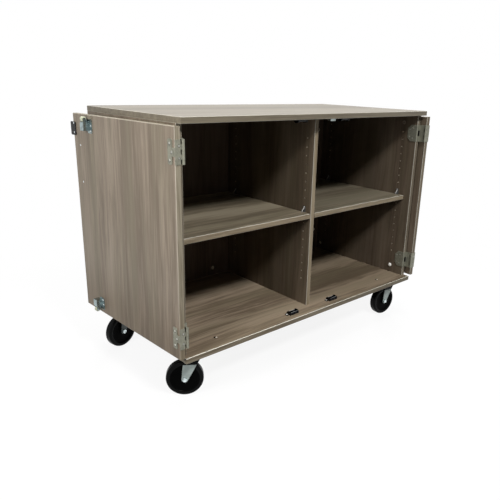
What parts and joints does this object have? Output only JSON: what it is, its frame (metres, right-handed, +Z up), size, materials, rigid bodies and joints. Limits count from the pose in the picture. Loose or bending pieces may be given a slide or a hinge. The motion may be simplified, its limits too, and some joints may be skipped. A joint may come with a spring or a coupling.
{
  "type": "tray storage cart",
  "caption": "Mobile wood-grain storage cabinet for trays: open bays with shelves, fold-back hinged doors and swivel casters.",
  "frame": {"origin": "middle of the footprint with the doors folded back, on the floor", "axes": "+X to the right of someone facing the open front, +Y towards the rear, +Z up"},
  "size_m": [1.3646, 0.623, 0.9239],
  "materials": {
    "laminate": "satin grey-brown wood-grain laminate",
    "cap_plastic": "matte",
    "clip_plastic": "matte",
    "hinge_steel": "satin",
    "black_plastic": "gloss",
    "nylon": "satin",
    "zinc": "bright zinc plate",
    "nickel": "satin nickel",
    "tread": "hard, half gloss"
  },
  "bodies": {
    "cabinet": {"top_panel": "laminate", "bottom_panel": "laminate", "left_side_panel": "laminate", "right_side_panel": "laminate", "back_panel": "laminate", "centre_divider": "laminate", "left_shelf": "laminate", "right_shelf": "laminate", "shelf_clips": "clip_plastic", "connector_caps": "cap_plastic", "hinge_pins": "hinge_steel", "catch_strikes": "black_plastic", "lock_keeper": "zinc", "caster_bolts": "zinc", "left_upper_case_leaf": "hinge_steel", "left_lower_case_leaf": "hinge_steel", "right_upper_case_leaf": "hinge_steel", "right_lower_case_leaf": "hinge_steel", "front_left_caster_plate": "zinc", "front_right_caster_plate": "zinc", "rear_left_caster_plate": "zinc", "rear_right_caster_plate": "zinc"},
    "left_door": {"left_door": "laminate", "left_pull": "nickel", "left_upper_door_leaf": "hinge_steel", "left_lower_door_leaf": "hinge_steel", "left_upper_catch_housing": "zinc", "left_lower_catch_housing": "zinc", "door_keeper_plate": "black_plastic"},
    "left_upper_catch_plunger": {"left_upper_catch_plunger": "zinc"},
    "left_upper_catch_roller": {"left_upper_catch_roller": "nylon"},
    "left_lower_catch_plunger": {"left_lower_catch_plunger": "zinc"},
    "left_lower_catch_roller": {"left_lower_catch_roller": "nylon"},
    "right_door": {"right_door": "laminate", "right_pull": "nickel", "right_upper_door_leaf": "hinge_steel", "right_lower_door_leaf": "hinge_steel", "right_upper_catch_housing": "zinc", "right_lower_catch_housing": "zinc", "lock_case": "zinc"},
    "right_upper_catch_plunger": {"right_upper_catch_plunger": "zinc"},
    "right_upper_catch_roller": {"right_upper_catch_roller": "nylon"},
    "right_lower_catch_plunger": {"right_lower_catch_plunger": "zinc"},
    "right_lower_catch_roller": {"right_lower_catch_roller": "nylon"},
    "lock_cylinder": {"lock_cylinder": "nickel"},
    "lock_bolt": {"lock_bolt": "zinc"},
    "front_left_fork": {"front_left_caster_fork": "zinc", "front_left_caster_axle": "zinc"},
    "front_left_wheel": {"front_left_caster_wheel": "tread"},
    "front_right_fork": {"front_right_caster_fork": "zinc", "front_right_caster_axle": "zinc"},
    "front_right_wheel": {"front_right_caster_wheel": "tread"},
    "rear_left_fork": {"rear_left_caster_fork": "zinc", "rear_left_caster_axle": "zinc"},
    "rear_left_wheel": {"rear_left_caster_wheel": "tread"},
    "rear_right_fork": {"rear_right_caster_fork": "zinc", "rear_right_caster_axle": "zinc"},
    "rear_right_wheel": {"rear_right_caster_wheel": "tread"}
  },
  "joints": [
    {"name": "left_door_hinge", "type": "hinge", "parent": "cabinet", "child": "left_door", "pos_m": [-0.60705, -0.30673, 0.5429], "axis": [0, 0, 1], "range_deg": [0, 267]},
    {"name": "left_upper_plunger_slide", "type": "slide", "parent": "left_door", "child": "left_upper_catch_plunger", "axis": [0, 0, -1], "range_m": [0, 0.003], "stiffness_N_per_m": 3000, "springref_m": -0.002},
    {"name": "left_upper_roller_spin", "type": "hinge", "parent": "left_upper_catch_plunger", "child": "left_upper_catch_roller", "pos_m": [-0.67334, 0.19298, 0.88585], "axis": [-0.0523, 0.9986, 0], "continuous": true},
    {"name": "left_lower_plunger_slide", "type": "slide", "parent": "left_door", "child": "left_lower_catch_plunger", "axis": [0, 0, 1], "range_m": [0, 0.003], "stiffness_N_per_m": 3000, "springref_m": -0.002},
    {"name": "left_lower_roller_spin", "type": "hinge", "parent": "left_lower_catch_plunger", "child": "left_lower_catch_roller", "pos_m": [-0.67334, 0.19298, 0.19995], "axis": [-0.0523, 0.9986, 0], "continuous": true},
    {"name": "right_door_hinge", "type": "hinge", "parent": "cabinet", "child": "right_door", "pos_m": [0.60705, -0.30673, 0.5429], "axis": [0, 0, 1], "range_deg": [-267, 0]},
    {"name": "right_upper_plunger_slide", "type": "slide", "parent": "right_door", "child": "right_upper_catch_plunger", "axis": [0, 0, -1], "range_m": [0, 0.003], "stiffness_N_per_m": 3000, "springref_m": -0.002},
    {"name": "right_upper_roller_spin", "type": "hinge", "parent": "right_upper_catch_plunger", "child": "right_upper_catch_roller", "pos_m": [0.67269, 0.1805, 0.88585], "axis": [0.0523, 0.9986, 0], "continuous": true},
    {"name": "right_lower_plunger_slide", "type": "slide", "parent": "right_door", "child": "right_lower_catch_plunger", "axis": [0, 0, 1], "range_m": [0, 0.003], "stiffness_N_per_m": 3000, "springref_m": -0.002},
    {"name": "right_lower_roller_spin", "type": "hinge", "parent": "right_lower_catch_plunger", "child": "right_lower_catch_roller", "pos_m": [0.67269, 0.1805, 0.19995], "axis": [0.0523, 0.9986, 0], "continuous": true},
    {"name": "lock_turn", "type": "hinge", "parent": "right_door", "child": "lock_cylinder", "pos_m": [0.66248, 0.25319, 0.8669], "axis": [0.9986, -0.0523, 0], "range_deg": [0, 90]},
    {"name": "bolt_slide", "type": "slide", "parent": "right_door", "child": "lock_bolt", "axis": [0, 0, 1], "range_m": [0, 0.008]},
    {"name": "front_left_swivel", "type": "hinge", "parent": "cabinet", "child": "front_left_fork", "pos_m": [-0.541, -0.23373, 0.15], "axis": [0, 0, 1], "continuous": true},
    {"name": "front_left_wheel_spin", "type": "hinge", "parent": "front_left_fork", "child": "front_left_wheel", "pos_m": [-0.5632, -0.21836, 0.0635], "axis": [0.5693, 0.8221, 0], "continuous": true},
    {"name": "front_right_swivel", "type": "hinge", "parent": "cabinet", "child": "front_right_fork", "pos_m": [0.541, -0.23373, 0.15], "axis": [0, 0, 1], "continuous": true},
    {"name": "front_right_wheel_spin", "type": "hinge", "parent": "front_right_fork", "child": "front_right_wheel", "pos_m": [0.51415, -0.23091, 0.0635], "axis": [0.1045, 0.9945, 0], "continuous": true},
    {"name": "rear_left_swivel", "type": "hinge", "parent": "cabinet", "child": "rear_left_fork", "pos_m": [-0.541, 0.24127, 0.15], "axis": [0, 0, 1], "continuous": true},
    {"name": "rear_left_wheel_spin", "type": "hinge", "parent": "rear_left_fork", "child": "rear_left_wheel", "pos_m": [-0.56737, 0.23547, 0.0635], "axis": [-0.2147, 0.9767, 0], "continuous": true},
    {"name": "rear_right_swivel", "type": "hinge", "parent": "cabinet", "child": "rear_right_fork", "pos_m": [0.541, 0.24127, 0.15], "axis": [0, 0, 1], "continuous": true},
    {"name": "rear_right_wheel_spin", "type": "hinge", "parent": "rear_right_fork", "child": "rear_right_wheel", "pos_m": [0.51459, 0.24688, 0.0635], "axis": [0.2079, 0.9781, 0], "continuous": true}
  ],
  "couplings": [
    {"joint": "lock_turn", "follows": "bolt_slide", "rad_per_m": 196.35}
  ]
}
